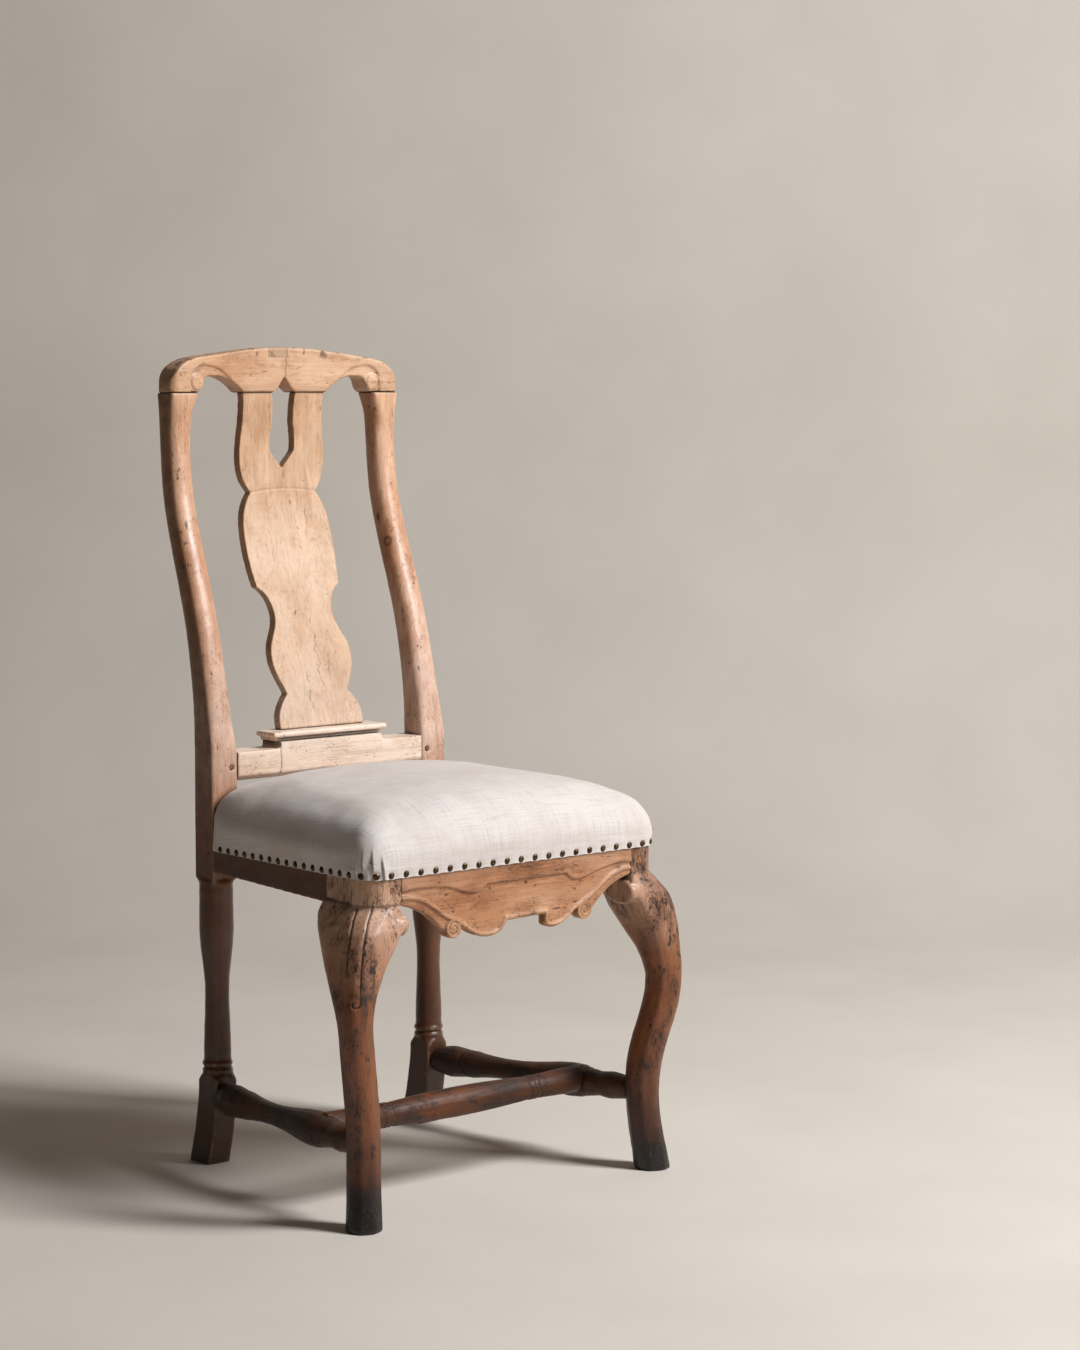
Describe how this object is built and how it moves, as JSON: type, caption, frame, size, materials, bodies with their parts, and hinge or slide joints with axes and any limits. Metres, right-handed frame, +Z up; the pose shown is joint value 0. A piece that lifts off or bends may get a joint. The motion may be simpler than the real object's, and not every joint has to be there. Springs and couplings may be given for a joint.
{
  "type": "side chair",
  "caption": "Carved wooden side chair with a pierced vase splat, S-curved back posts, cabriole front legs, turned stretchers and a linen seat nailed over the rails.",
  "frame": {"origin": "middle of the chair's bounding box in plan, at floor level", "axes": "+Z up, +X to the right as the chair is seen from the front, the chair faces -Y"},
  "size_m": [0.561, 0.5408, 1.096],
  "materials": {
    "scraped_birch": "old wood scraped back to a pale honey colour, waxed, with dark grime in the recesses",
    "worn_birch": "worn orange-brown wood with dark chipped feet",
    "stained_birch": "dark brown, scuffed and polished by shoes",
    "bare_pine": "unpolished",
    "peg_wood": "riven pegs, end grain showing",
    "linen": "plain weave, off-white",
    "jute_cloth": "coarse weave",
    "jute_webbing": "woven straps",
    "hair_stuffing": "packed curled hair",
    "bronzed_brass": "dark antique bronze"
  },
  "bodies": {
    "root": {"apron_pegs": "peg_wood", "back_post_left": "scraped_birch", "back_post_right": "scraped_birch", "base_cloth": "jute_cloth", "cover_tacks": "bronzed_brass", "crest_pegs": "peg_wood", "crest_rail": "scraped_birch", "cross_stretcher": "stained_birch", "front_leg_left": "worn_birch", "front_leg_pegs": "peg_wood", "front_leg_right": "worn_birch", "front_seat_rail": "scraped_birch", "linen_cover": "linen", "lower_back_rail": "scraped_birch", "lower_rail_pegs": "peg_wood", "post_pegs": "peg_wood", "rear_seat_rail": "bare_pine", "seat_stuffing": "hair_stuffing", "side_seat_rail_left": "bare_pine", "side_seat_rail_right": "bare_pine", "side_stretcher_left": "stained_birch", "side_stretcher_right": "stained_birch", "splat": "scraped_birch", "splat_shoe": "scraped_birch", "webbing_crosswise": "jute_webbing", "webbing_lengthwise": "jute_webbing"}
  },
  "joints": []
}
